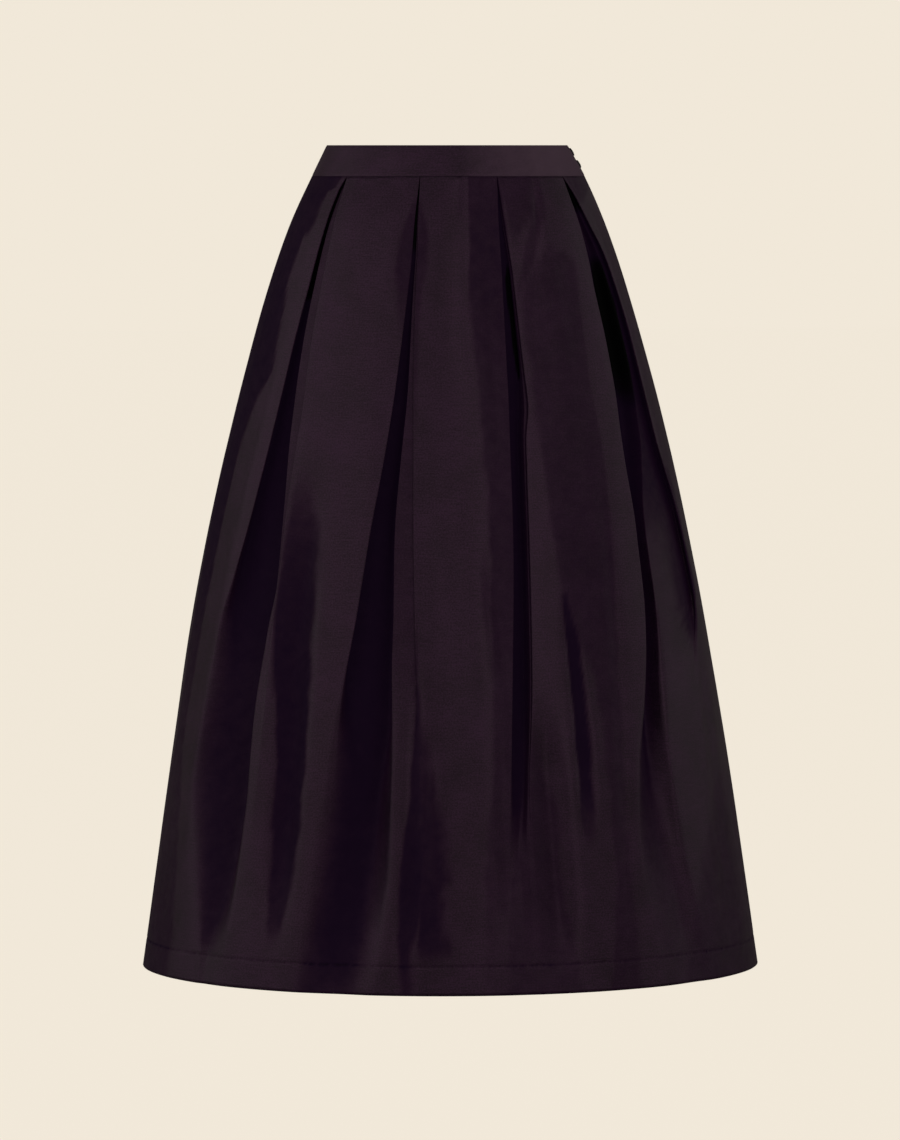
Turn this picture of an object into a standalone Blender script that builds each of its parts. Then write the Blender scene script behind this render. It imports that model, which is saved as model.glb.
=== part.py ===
"""Pleated midi skirt, filled out as it is when worn, hollow from the waist to the hem.

Metres, +Z up. The front faces -Y and +X is the wearer's left. The origin is the middle of the waist opening,
level with the waistband's top edge. Sizes in the tables are in millimetres below the waist seam ("down"),
and in degrees round the body from the centre front or the centre back.
"""
from collections import namedtuple
from math import atan2, cos, exp, hypot, pi, radians, sin

import bmesh
import bpy
from mathutils import Matrix, Vector

MM = 0.001
CLOTH = 1.0             # thickness of the cloth wall
SEAM_GAP = 0.3          # clearance between two pieces that are sewn together
LAYER = 1.8             # from the middle of one layer of a pleat to the middle of the next
BAND_HEIGHT = 30.0
BAND_THICK = 2.0
BAND_PROUD = 0.2        # the waistband's face stands this far out of the skirt's
LENGTH = 770.0          # waist seam to hem
HEM_DEPTH = 28.0        # allowance turned up inside
PLEAT_ANGLES = (-51.8, -16.2, 16.2, 51.8)
LAP_END = 98.0          # the front waistband's end, round from the centre front
UNDERLAP_END = 81.0
PLACKET_ROWS = 5        # as far down as the fifth section
PLACKET_WIDTH = 30.0
BUTTON_RADIUS = 4.4
BUTTON_HEIGHT = 1.7
BUTTON_ANGLE = 90.5
BUTTON_DOWNS = {"button_upper": -22.9, "button_lower": -11.2}
SECTION_DOWNS = (0, 18, 55, 110, 190, 285, 375, 455, 540, 620, 690, LENGTH - HEM_DEPTH, LENGTH)
PANEL_STEPS = (4, 8, 4, 6, 4)
BAND_STEPS = 28

# The form that the cloth lies on: half its width, half its depth, and how far it leans to the wearer's left.
Form = namedtuple("Form", "down half_width half_depth lean")
FORM = (
    Form(-30, 117.2, 90, -0.3), Form(0, 132.9, 101, 0.9), Form(50, 155.1, 119, 0.3), Form(110, 175.5, 134, 0.2),
    Form(220, 205.9, 160, 0.8), Form(330, 231.4, 182, 0.4), Form(440, 252.9, 202, 1.0), Form(550, 270.1, 221, 2.2),
    Form(660, 286.2, 238, 2.7), Form(770, 302, 255, 3.1))

# How one pleat opens on its way down. left, right: its two edges, in degrees from the pleat's line. bank: where
# the floor has come up out of the deepest slot. depth: how far in the slot lies. rise: how far in the bank lies.
# tuck: how far the cloth still goes under each edge.
Pleat = namedtuple("Pleat", "down left right bank depth rise tuck")
SIDE_WAVE = (
    Pleat(0, -0.5, 0.5, 0.0, 3.6, 3.6, 20), Pleat(55, -3.1, 3.2, -0.6, 7, 3.6, 15),
    Pleat(120, -2.9, 3.8, 0.4, 13, 3.6, 12), Pleat(215, -4.7, 5.2, 0.8, 19, 3.6, 9),
    Pleat(330, -7.2, 4.9, 2.0, 24, 3.6, 7), Pleat(410, -10.0, 4.5, 2.2, 26, 3.4, 5),
    Pleat(485, -13.5, 4.0, 0.2, 26, 2.4, 2), Pleat(565, -15.0, 4.0, -0.6, 24, 1.2, 0),
    Pleat(645, -13.5, 3.5, -1.6, 19, 0.8, 0), Pleat(710, -11.0, 3.0, -3.0, 12, 0.5, 0),
    Pleat(770, -9.0, 2.0, -3.5, 3, 0.3, 0))
DEEP_WAVE = (
    Pleat(0, -0.45, 0.45, 0.0, 3.6, 3.6, 20), Pleat(60, -0.7, 0.8, 0.1, 4.5, 3.6, 18),
    Pleat(120, -1.2, 2.1, 0.6, 9, 3.6, 15), Pleat(225, -3.0, 2.9, 0.7, 17, 3.6, 10),
    Pleat(335, -6.5, 3.7, -0.4, 25, 3.6, 8), Pleat(425, -9.0, 4.5, 0.4, 30, 3.6, 7),
    Pleat(510, -11.4, 3.6, 0.0, 31, 2.6, 4), Pleat(590, -12.2, 2.4, -0.6, 29, 1.4, 0),
    Pleat(675, -14.6, 0.8, -2.6, 23, 0.8, 0), Pleat(725, -15.0, 0.0, -4.5, 14, 0.5, 0),
    Pleat(770, -14.0, -1.0, -6.0, 4, 0.3, 0))
NARROW_SLIT = (
    Pleat(0, -0.45, 0.45, 0.0, 3.6, 3.6, 20), Pleat(60, -2.2, 0.5, -0.8, 7, 3.6, 17),
    Pleat(120, -2.9, 1.5, 0.2, 12, 3.6, 15), Pleat(180, -3.4, 1.8, 0.8, 16, 3.6, 13),
    Pleat(275, -4.4, -0.6, -1.4, 20, 3.6, 12), Pleat(425, -5.6, -1.8, -2.4, 22, 3.6, 9),
    Pleat(510, -6.9, -3.3, -4.0, 20, 3.2, 6), Pleat(590, -7.8, -4.4, -5.2, 16, 2.4, 3),
    Pleat(665, -8.6, -4.6, -6.0, 10, 1.2, 0), Pleat(770, -9.6, -4.0, -7.0, 2.5, 0.5, 0))
WIDE_WELL = (
    Pleat(0, -0.5, 0.5, 0.0, 3.6, 3.6, 20), Pleat(20, -0.4, 4.0, 2.6, 6, 3.8, 18),
    Pleat(75, -0.4, 11.0, 8.6, 15, 5, 12), Pleat(125, -2.0, 13.2, 11.4, 22, 6, 10),
    Pleat(200, -2.6, 13.2, 11.2, 28, 8, 10), Pleat(295, -4.2, 17.0, 4.2, 31, 9, 8),
    Pleat(400, -5.4, 21.4, 0.8, 31, 8, 7), Pleat(470, -7.7, 16.5, -1.6, 29, 6, 3),
    Pleat(560, -13.0, 12.0, -6.0, 22, 3, 0), Pleat(640, -15.5, 8.0, -9.0, 13, 1.5, 0),
    Pleat(770, -16.0, 6.0, -9.0, 3, 0.5, 0))

FRONT_PLEATS = tuple(zip(PLEAT_ANGLES, (SIDE_WAVE, DEEP_WAVE, NARROW_SLIT, WIDE_WELL)))
BACK_PLEATS = tuple(zip(PLEAT_ANGLES, (SIDE_WAVE, NARROW_SLIT, DEEP_WAVE, SIDE_WAVE)))

# The largest folds between the pleats: where each starts and ends, its angle at the two ends, half its width, how far
# in it goes, and how much steeper its far side is than its near one.
Trough = namedtuple("Trough", "top bottom angle_top angle_bottom width_top width_bottom depth lean")
FRONT_TROUGHS = (
    Trough(255, 748, -39.0, -38.6, 19, 14, 17, 1.35),
    Trough(480, 765, 15.2, 16.6, 13, 14, 9, 1.2))
BACK_TROUGHS = (
    Trough(310, 745, -34.0, -32.0, 12, 10, 6, 1),
    Trough(260, 745, 25.0, 22.0, 9, 12, 6, 1))

Half = namedtuple("Half", "pleats troughs")
FRONT = Half(FRONT_PLEATS, FRONT_TROUGHS)
BACK = Half(BACK_PLEATS, BACK_TROUGHS)


def at(table, down):
    """A table's row at any height, on a smooth run through its rows that never overshoots them."""
    down = min(max(down, table[0].down), table[-1].down)
    k = next(k for k in range(len(table) - 1) if down <= table[k + 1].down)
    low, high = table[k], table[k + 1]
    span = high.down - low.down
    t = (down - low.down) / span
    values = []
    for column in range(1, len(low)):
        slopes = [(b[column] - a[column]) / (b.down - a.down) for a, b in zip(table, table[1:])]
        ends = []
        for knot in (k, k + 1):
            if 0 < knot < len(slopes) and slopes[knot - 1] * slopes[knot] > 0:
                ends.append(2 / (1 / slopes[knot - 1] + 1 / slopes[knot]))
            else:
                ends.append(0.0 if 0 < knot < len(slopes) else slopes[min(knot, len(slopes) - 1)])
        a, b = low[column], high[column]
        values.append((2 * t**3 - 3 * t**2 + 1) * a + (t**3 - 2 * t**2 + t) * span * ends[0]
                      + (3 * t**2 - 2 * t**3) * b + (t**3 - t**2) * span * ends[1])
    return type(low)(down, *values)


def place(form, angle, inset):
    """A point of the plan, in millimetres: round from the centre front, and in from the form."""
    a, b = form.half_width, form.half_depth
    x, y = a * sin(radians(angle)), -b * cos(radians(angle))
    inward = Vector((-x / a**2, -y / b**2)).normalized()
    return Vector((x, y)) + inward * inset


def arc(form, angle):
    """Millimetres round the form for each degree."""
    return hypot(form.half_width * cos(radians(angle)), form.half_depth * sin(radians(angle))) * pi / 180


def pleat_points(form, line, pleat):
    """One pleat from edge to edge, as pairs of angle and inset: folded flat high up, opened into a wave low down."""
    left, right, bank = line + pleat.left, line + pleat.right, line + pleat.bank
    deep, rise = pleat.depth, pleat.rise
    slot, shelf = bank - left, right - bank
    under_left = left - pleat.tuck / arc(form, left)
    under_right = right + pleat.tuck / arc(form, right)
    step = min(4 / arc(form, bank), shelf * 0.3)
    tucked_bank = bank + min(1.5 / arc(form, bank), shelf * 0.2)
    folded = [
        (left, 0), (left, LAYER), (under_left, max(LAYER, deep * 0.3)), (under_left, deep * 0.55),
        (left + slot * 0.5, deep * 0.78), (tucked_bank, deep), (bank, rise), (under_right, rise),
        (under_right, max(LAYER, rise * 0.5)), (right, min(LAYER, rise)), (right, 0)]
    opened = [
        (left, 0), (left + slot * 0.15, deep * 0.18), (left + slot * 0.35, deep * 0.45), (left + slot * 0.6, deep * 0.75),
        (left + slot * 0.85, deep), (bank, deep), (bank + step, (deep + rise) / 2), (bank + step * 2, rise),
        (bank + shelf * 0.8, rise * 0.6), (right - shelf * 0.08, rise * 0.2), (right, 0)]
    openness = 1 - min(pleat.tuck / 6, 1)
    return [(a + (c - a) * openness, b + (d - b) * openness) for (a, b), (c, d) in zip(folded, opened)]


def ease(value, start, end):
    """0 before start, 1 after end, smooth between."""
    t = min(max((value - start) / (end - start), 0), 1)
    return t * t * (3 - 2 * t)


def trough_depth(troughs, form, angle, down):
    """How far the folds between the pleats press the cloth in at one point."""
    total = 0.0
    for trough in troughs:
        if trough.top < down < trough.bottom:
            t = (down - trough.top) / (trough.bottom - trough.top)
            centre = trough.angle_top + (trough.angle_bottom - trough.angle_top) * t
            width = trough.width_top + (trough.width_bottom - trough.width_top) * t
            off = (angle - centre) * arc(form, angle) / width
            off *= trough.lean if off > 0 else 1 / trough.lean
            total += trough.depth * exp(-off * off) * ease(t, 0, 0.35) * (1 - ease(t, 0.7, 1))
    return total


def half_section(half, down, offset=0.0):
    """The middle of the cloth at one height, from side seam to side seam, moved out by the offset."""
    form = at(FORM, down)
    seam = 90 - SEAM_GAP / 2 / arc(form, 90)
    stops, angle = [], -seam
    for (line, table), steps in zip(half.pleats, PANEL_STEPS):
        points = pleat_points(form, line, at(table, down))
        first = points[0][0]
        stops += [(angle + (first - angle) * k / steps, 0) for k in range(0 if not stops else 1, steps)]
        stops += points
        angle = points[-1][0]
    steps = PANEL_STEPS[-1]
    stops += [(angle + (seam - angle) * k / steps, 0) for k in range(1, steps + 1)]
    middle = []
    for angle, inset in stops:
        pressed = trough_depth(half.troughs, form, angle, down) * exp(-(inset / 9) ** 2)
        middle.append(place(form, angle, inset + pressed + CLOTH / 2))
    return [point + normal * offset for point, normal in zip(middle, outward(middle))]


def outward(points):
    """Mitred normals of an open line of points, square to the side seams at its two ends."""
    sides = []
    for a, b in zip(points, points[1:]):
        step = (b - a).normalized()
        sides.append(Vector((step.y, -step.x)))
    mitres = [Vector((-1, 0))]
    for before, after in zip(sides, sides[1:]):
        mitres.append((before + after) / max(1 + before.dot(after), 0.35))
    return mitres + [Vector((1, 0))]


def grid_wall(name, outer, inner, material):
    """One closed wall from two grids of points in millimetres, rows from the top down."""
    mesh = bmesh.new()
    faces = []
    skins = [[[mesh.verts.new(point * MM) for point in row] for row in skin] for skin in (outer, inner)]
    rows, columns = len(outer), len(outer[0])
    near, far = skins
    for i in range(rows - 1):
        for j in range(columns - 1):
            faces.append((near[i][j], near[i + 1][j], near[i + 1][j + 1], near[i][j + 1]))
            faces.append((far[i][j], far[i][j + 1], far[i + 1][j + 1], far[i + 1][j]))
        faces.append((near[i][0], far[i][0], far[i + 1][0], near[i + 1][0]))
        faces.append((near[i][-1], near[i + 1][-1], far[i + 1][-1], far[i][-1]))
    for j in range(columns - 1):
        faces.append((near[0][j], near[0][j + 1], far[0][j + 1], far[0][j]))
        faces.append((near[-1][j], far[-1][j], far[-1][j + 1], near[-1][j + 1]))
    for face in faces:
        mesh.faces.new(face)
    bmesh.ops.triangulate(mesh, faces=mesh.faces, quad_method="SHORT_EDGE")
    return add_object(name, mesh, material)


def add_object(name, mesh, material):
    """An object in the scene, smooth where it rounds and sharp where it is folded."""
    data = bpy.data.meshes.new(name)
    mesh.to_mesh(data)
    mesh.free()
    data.shade_smooth()
    data.set_sharp_from_angle(angle=radians(35))
    data.materials.append(material)
    made = bpy.data.objects.new(name, data)
    bpy.context.scene.collection.objects.link(made)
    return made


def finish(name, colour, roughness):
    material = bpy.data.materials.new(name)
    material.use_nodes = True
    shader = material.node_tree.nodes["Principled BSDF"]
    shader.inputs["Base Color"].default_value = (*colour, 1)
    shader.inputs["Roughness"].default_value = roughness
    shader.inputs["Metallic"].default_value = 0.0
    return material


def to_side(points, down, side):
    """Plan points of one half in the skirt's own frame: the back is the front turned half way round."""
    z = -BAND_HEIGHT - max(down, SEAM_GAP)
    about = 1 if side == "front" else -1
    lean = at(FORM, down).lean
    return [Vector((point.x * about + lean, point.y * about, z)) for point in points]


def skirt_half(side, half, colour):
    """A front or back length of the skirt, and the allowance turned up inside its hem."""
    def skin(downs, offset):
        return [to_side(half_section(half, down, offset), down, side) for down in downs]

    grid_wall("skirt_" + side, skin(SECTION_DOWNS, CLOTH / 2), skin(SECTION_DOWNS, -CLOTH / 2),
              finish("skirt_" + side, colour, 0.45))
    outer = -CLOTH / 2 - SEAM_GAP
    grid_wall("hem_" + side, skin(SECTION_DOWNS[-2:], outer), skin(SECTION_DOWNS[-2:], outer - CLOTH),
              finish("hem_" + side, colour, 0.5))


def band_row(down, start, end, inset):
    """A line of points along the waistband at one height; inset(angle) is how far in it runs."""
    form = at(FORM, down)
    angles = [start + (end - start) * k / BAND_STEPS for k in range(BAND_STEPS + 1)]
    shift = Vector((form.lean, 0, -BAND_HEIGHT - down))
    return [place(form, angle, inset(angle)).to_3d() + shift for angle in angles]


def waistband(name, start, end, step_in, colour):
    downs = (-BAND_HEIGHT, -BAND_HEIGHT / 2, 0)
    outer = [band_row(down, start, end, lambda angle: step_in(angle) - BAND_PROUD) for down in downs]
    inner = [band_row(down, start, end, lambda angle: step_in(angle) - BAND_PROUD + BAND_THICK) for down in downs]
    grid_wall(name, outer, inner, finish(name, colour, 0.45))


def underlap_step(angle):
    """The back's end goes in under the front's by one thickness, over a short slope past the lap's end."""
    slope_start, slope_end = LAP_END + 2, LAP_END + 9
    share = min(max((slope_end - angle) / (slope_end - slope_start), 0), 1)
    return (BAND_THICK + 2 * SEAM_GAP) * share * share * (3 - 2 * share)


def placket(colour):
    """A strip behind the opening of the wearer's left side seam, laid on the inside of both lengths."""
    skins = []
    for offset in (-CLOTH / 2 - 2 * SEAM_GAP, -CLOTH * 1.5 - 2 * SEAM_GAP):
        rows = []
        for down in SECTION_DOWNS[:PLACKET_ROWS]:
            front = to_side(half_section(FRONT, down, offset)[-2:], down, "front")
            back = to_side(half_section(BACK, down, offset)[:2], down, "back")
            seam = (front[1] + back[0]) / 2
            reach = PLACKET_WIDTH / 2
            rows.append([seam + (front[0] - seam).normalized() * reach, seam,
                         seam + (back[1] - seam).normalized() * reach])
        skins.append(rows)
    grid_wall("placket_underlap", skins[0], skins[1], finish("placket_underlap", colour, 0.5))


def button(name, down, colour):
    """A small domed button: a turned profile with a rounded rim, its flat back on the band's lap."""
    rim = BUTTON_HEIGHT * 0.4
    dome = [(0, 0), (BUTTON_RADIUS * 0.88, 0), (BUTTON_RADIUS, rim * 0.5), (BUTTON_RADIUS, rim)]
    dome += [(BUTTON_RADIUS * cos(radians(a)), rim + (BUTTON_HEIGHT - rim) * sin(radians(a))) for a in (30, 60)]
    dome += [(0, BUTTON_HEIGHT)]
    mesh = bmesh.new()
    verts = [mesh.verts.new((x * MM, 0, z * MM)) for x, z in dome]
    edges = [mesh.edges.new(pair) for pair in zip(verts, verts[1:])]
    bmesh.ops.spin(mesh, geom=verts + edges, cent=(0, 0, 0), axis=(0, 0, 1), angle=2 * pi, steps=18, use_merge=True)
    bmesh.ops.remove_doubles(mesh, verts=mesh.verts, dist=1e-6)
    bmesh.ops.recalc_face_normals(mesh, faces=mesh.faces)
    form = at(FORM, down)
    top, seam = FORM[0], FORM[1]
    slope = atan2(seam.half_width + seam.lean - top.half_width - top.lean, BAND_HEIGHT)
    facing = Vector((cos(slope), 0, sin(slope)))
    seat = place(form, BUTTON_ANGLE, -BAND_PROUD).to_3d() + Vector((form.lean, 0, -BAND_HEIGHT - down))
    made = add_object(name, mesh, finish(name, colour, 0.3))
    made.matrix_world = (Matrix.Translation((seat + facing * SEAM_GAP) * MM)
                         @ facing.to_track_quat("Z", "Y").to_matrix().to_4x4())
    return made


for leftover in list(bpy.data.objects):
    bpy.data.objects.remove(leftover)

AUBERGINE = (0.012, 0.006, 0.011)
BUTTON_BLACK = (0.006, 0.005, 0.006)

skirt_half("front", FRONT, AUBERGINE)
skirt_half("back", BACK, AUBERGINE)
waistband("waistband_front", -90 + 0.08, LAP_END, lambda angle: 0.0, AUBERGINE)
waistband("waistband_back", UNDERLAP_END, 270 - 0.08, underlap_step, AUBERGINE)
placket(AUBERGINE)
for button_name, button_down in BUTTON_DOWNS.items():
    button(button_name, button_down, BUTTON_BLACK)
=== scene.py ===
"""The looks of a pleated midi skirt in dark aubergine taffeta, filled out, on the frame of its solids.

Metres, +Z up, as in the frame. Along the cloth, "down" is millimetres below the waist seam and angles
are degrees round the body, anticlockwise from above. They start from the centre front, but on the back
length from the centre back.
"""
from collections import namedtuple
from math import cos, exp, hypot, pi, radians, sin

import bmesh
import bpy
from mathutils import Matrix, Vector, noise


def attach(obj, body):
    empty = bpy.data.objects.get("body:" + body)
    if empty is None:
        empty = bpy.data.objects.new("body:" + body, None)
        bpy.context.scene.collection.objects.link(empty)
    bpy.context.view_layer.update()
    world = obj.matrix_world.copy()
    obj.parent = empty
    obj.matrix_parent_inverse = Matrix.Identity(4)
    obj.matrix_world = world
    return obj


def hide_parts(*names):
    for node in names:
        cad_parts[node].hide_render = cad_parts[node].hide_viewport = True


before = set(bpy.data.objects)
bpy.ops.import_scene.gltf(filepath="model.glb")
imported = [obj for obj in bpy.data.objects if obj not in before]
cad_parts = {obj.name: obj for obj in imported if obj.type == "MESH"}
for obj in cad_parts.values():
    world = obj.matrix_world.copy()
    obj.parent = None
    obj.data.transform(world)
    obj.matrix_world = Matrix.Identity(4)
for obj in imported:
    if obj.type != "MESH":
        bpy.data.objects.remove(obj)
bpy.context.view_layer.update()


# --- Studio -------------------------------------------------------------------------------------------
# A long lens level with the waist looks a little down at the skirt, from just to the wearer's right of
# its centre front. The floor is a plain cream sheet about as far below the waist as a real floor is.

CREAM = (0.879, 0.807, 0.694)
CAMERA_DISTANCE = 6.2
CAMERA_TURN = radians(5.7)
CAMERA_LENS = 200.7
AIM_ACROSS, AIM_DOWN = 0.0024, 0.4146
FLOOR_Z = -1.05
FLOOR_REACH = 30
FLOOR_GLOW = 0.99
BACKDROP_LIGHT = 0.12   # how much of the backdrop's brightness falls on the skirt
SKIRT_MIDDLE = Vector((0, 0, -0.4))

across = Vector((cos(CAMERA_TURN), -sin(CAMERA_TURN), 0))
camera_place = Vector((-sin(CAMERA_TURN), -cos(CAMERA_TURN), 0)) * CAMERA_DISTANCE
aim = across * AIM_ACROSS - Vector((0, 0, AIM_DOWN))
camera_data = bpy.data.cameras.new("camera")
camera_data.lens = CAMERA_LENS
camera_data.clip_end = 100
camera = bpy.data.objects.new("camera", camera_data)
camera.location = camera_place
camera.rotation_euler = (aim - camera_place).to_track_quat("-Z", "Y").to_euler()
bpy.context.scene.collection.objects.link(camera)
bpy.context.scene.camera = camera
bpy.context.scene.view_settings.view_transform = "Standard"


def softbox(name, round_to, up, distance, width, height, watts):
    """An area light aimed at the middle of the skirt, by degrees round from the front and up from level."""
    data = bpy.data.lights.new(name, "AREA")
    data.shape = "RECTANGLE"
    data.size, data.size_y = width, height
    data.energy = watts
    made = bpy.data.objects.new(name, data)
    around, above = radians(round_to), radians(up)
    towards = Vector((sin(around) * cos(above), -cos(around) * cos(above), sin(above)))
    made.location = SKIRT_MIDDLE + distance * towards
    made.rotation_euler = (SKIRT_MIDDLE - made.location).to_track_quat("-Z", "Y").to_euler()
    bpy.context.scene.collection.objects.link(made)


softbox("key", -92, 16, 4.0, 3.2, 3.2, 21)
softbox("half_key", -42, 20, 4.0, 3.0, 3.0, 21)
softbox("front", 22, 22, 5.0, 3.0, 2.4, 35)
softbox("fill", 84, 15, 4.0, 3.0, 3.0, 12)
softbox("rim", 115, 20, 3.5, 2.0, 2.0, 2)
softbox("top", 0, 80, 3.0, 1.6, 1.6, 4)

world = bpy.data.worlds.new("studio")
world.use_nodes = True
backdrop = world.node_tree.nodes["Background"]
backdrop.inputs["Color"].default_value = (*CREAM, 1)
rays = world.node_tree.nodes.new("ShaderNodeLightPath")
level = world.node_tree.nodes.new("ShaderNodeMix")
level.inputs["A"].default_value = BACKDROP_LIGHT
level.inputs["B"].default_value = 1.0
world.node_tree.links.new(rays.outputs["Is Camera Ray"], level.inputs["Factor"])
world.node_tree.links.new(level.outputs["Result"], backdrop.inputs["Strength"])
bpy.context.scene.world = world

floor_mesh = bmesh.new()
bmesh.ops.create_grid(floor_mesh, x_segments=1, y_segments=1, size=FLOOR_REACH,
                      matrix=Matrix.Translation((0, 0, FLOOR_Z)))
floor_data = bpy.data.meshes.new("floor")
floor_mesh.to_mesh(floor_data)
floor_mesh.free()
floor = bpy.data.objects.new("floor", floor_data)
bpy.context.scene.collection.objects.link(floor)
floor_paint = bpy.data.materials.new("floor")
floor_paint.use_nodes = True
floor_shader = floor_paint.node_tree.nodes["Principled BSDF"]
floor_shader.inputs["Base Color"].default_value = (0.05, 0.046, 0.04, 1)
floor_shader.inputs["Roughness"].default_value = 1.0
floor_shader.inputs["Specular IOR Level"].default_value = 0.0
floor_shader.inputs["Emission Color"].default_value = (*CREAM, 1)
floor_shader.inputs["Emission Strength"].default_value = FLOOR_GLOW
floor_data.materials.append(floor_paint)
floor.visible_diffuse = floor.visible_glossy = False


# --- Skirt lengths ------------------------------------------------------------------------------------
# Two lengths of crisp taffeta, front and back, each laid in four inverted box pleats at the waist seam.
# The pleats open into deep wells over the hips and run out in soft waves at the hem.

MM = 0.001
BAND_HEIGHT = 30.0
LENGTH = 770.0
HEM_LINE = 743.0
CLOTH_THICK = 0.5
LAYER = 1.8             # how far in a pleat's first fold lies
PLEAT_ANGLES = (-51.8, -16.2, 16.2, 51.8)
PANEL_COLUMNS = (26, 44, 46, 48, 26)
SEAM_CLEAR = 0.1        # left clear on each side of a side seam, and below the waist seam
EDGE_ROLL, EDGE_ROLL_WIDE = 0.3, 1.4        # how far the cloth turns in at a side seam, and how near to it
STITCH_DEPTH, STITCH_WIDE = 0.3, 1.3        # the shallow groove that the hem's stitches draw
CREASED_DEPTH = 9       # about how far into a pleat the creases reach
# The back's seam allowance, pressed to the front behind the side seam: how far past the seam and how
# far in.
ALLOWANCE = ((9.0, 0.95), (4.0, 0.95), (0.5, 0.7))

Form = namedtuple("Form", "down half_width half_depth lean")
FORM = (
    Form(-30, 117.2, 90, -0.3), Form(0, 132.9, 101, 0.9), Form(50, 155.1, 119, 0.3),
    Form(110, 175.5, 134, 0.2), Form(220, 205.9, 160, 0.8), Form(330, 231.4, 182, 0.4),
    Form(440, 252.9, 202, 1.0), Form(550, 270.1, 221, 2.2), Form(660, 286.2, 238, 2.7),
    Form(770, 302, 255, 3.1))

# Each pleat at several heights: its two edges and the inner fold beside its shelf, in degrees from its
# own line; how deep its well and its shelf lie; how far its layers tuck under the panels; and how dark
# the shade painted into its well and onto its shelf is.
Pleat = namedtuple("Pleat", "down left right bank depth rise tuck well shelf")
SIDE_WAVE = (
    Pleat(0, -0.06, 0.06, 0.0, 3.6, 3.6, 20, 1, 0.3), Pleat(15, -2.2, 0.6, -1.6, 4.5, 3.2, 18, 1, 0.3),
    Pleat(43, -2.7, 1.6, -1.9, 7, 3.0, 16, 1, 0.3), Pleat(96, -2.8, 2.8, -1.3, 11, 3.0, 13, 1, 0.3),
    Pleat(155, -3.8, 3.5, -0.9, 16, 3.2, 11, 1, 0.3), Pleat(237, -5.2, 4.7, 0.7, 20, 3.6, 9, 1, 0.3),
    Pleat(316, -7.5, 4.6, 3.0, 24, 3.6, 7, 1, 0.3), Pleat(388, -10.9, 5.0, 4.0, 26, 3.4, 5.5, 1, 0.3),
    Pleat(425, -13.2, 4.8, 2.7, 26, 2.8, 4, 1, 0.1), Pleat(496, -15.0, 5.0, 0.4, 26, 1.8, 1, 0.92, 0),
    Pleat(570, -17.6, 5.0, -0.8, 24, 1.0, 0, 0.95, 0),
    Pleat(640, -13.4, 4.5, -1.6, 18, 0.6, 0, 0.95, 0), Pleat(700, -9.4, 4.0, -3.0, 11, 0.4, 0, 0.9, 0),
    Pleat(727, -7.6, 4.0, -4.4, 5, 0.3, 0, 0.8, 0), Pleat(748, -6.8, 4.0, -4.8, 2.5, 0.3, 0, 0, 0),
    Pleat(770, -6.8, 4.0, -4.6, 1.2, 0.2, 0, 0, 0))
DEEP_WAVE = (
    Pleat(0, -0.06, 0.06, 0.0, 3.6, 3.6, 20, 1, 0.3), Pleat(40, -0.3, 1.0, 0.5, 4.5, 3.6, 18, 1, 0.3),
    Pleat(75, -0.2, 1.6, 0.9, 7, 3.6, 16, 1, 0.3), Pleat(120, -0.9, 1.8, 0.8, 10, 3.6, 15, 1, 0.3),
    Pleat(195, -2.6, 2.2, 0.6, 17, 3.6, 11, 1, 0.3), Pleat(269, -4.6, 3.0, -0.4, 22, 3.6, 9, 1, 0.35),
    Pleat(335, -6.7, 3.6, -1.0, 26, 3.6, 8, 1, 0.35), Pleat(420, -9.0, 4.3, -0.6, 30, 3.6, 7, 1, 0.3),
    Pleat(505, -11.9, 4.9, -1.0, 31, 2.6, 4, 1, 0.1), Pleat(580, -13.5, 4.6, -3.0, 29, 1.4, 0, 1, 0),
    Pleat(650, -15.0, 3.6, -4.2, 24, 0.8, 0, 1, 0), Pleat(705, -16.6, 2.2, -5.2, 16, 0.5, 0, 1, 0),
    Pleat(740, -17.8, 2.0, -6.2, 8, 0.4, 0, 0.95, 0), Pleat(770, -18.6, 1.5, -8.0, 3.5, 0.3, 0, 0.8, 0))
NARROW_SLIT = (
    Pleat(0, -0.06, 0.06, 0.0, 3.6, 3.6, 20, 1, 0.5), Pleat(45, -1.9, 0.3, 0.0, 6, 3.6, 18, 1, 0.5),
    Pleat(96, -2.7, 1.0, 0.7, 11, 3.6, 15, 1, 0.5), Pleat(171, -3.7, 1.0, 0.7, 15, 3.6, 13, 1, 0.5),
    Pleat(214, -4.1, 1.2, 0.4, 18, 3.6, 12, 1, 0.5), Pleat(252, -4.5, -0.3, -0.7, 19, 3.6, 12, 1, 0.5),
    Pleat(349, -5.3, -1.4, -1.7, 21, 3.6, 10, 1, 0.5), Pleat(474, -7.2, -2.9, -3.2, 21, 3.4, 7, 1, 0.4),
    Pleat(527, -8.0, -3.8, -4.1, 18, 2.8, 5, 1, 0.3),
    Pleat(590, -8.8, -4.9, -5.5, 13, 2.0, 2, 0.95, 0.2),
    Pleat(640, -9.4, -4.5, -7.0, 6, 1.0, 0, 0.35, 0), Pleat(700, -9.6, -4.0, -7.0, 2, 0.4, 0, 0, 0),
    Pleat(770, -9.6, -4.0, -7.0, 0.6, 0.2, 0, 0, 0))
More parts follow.
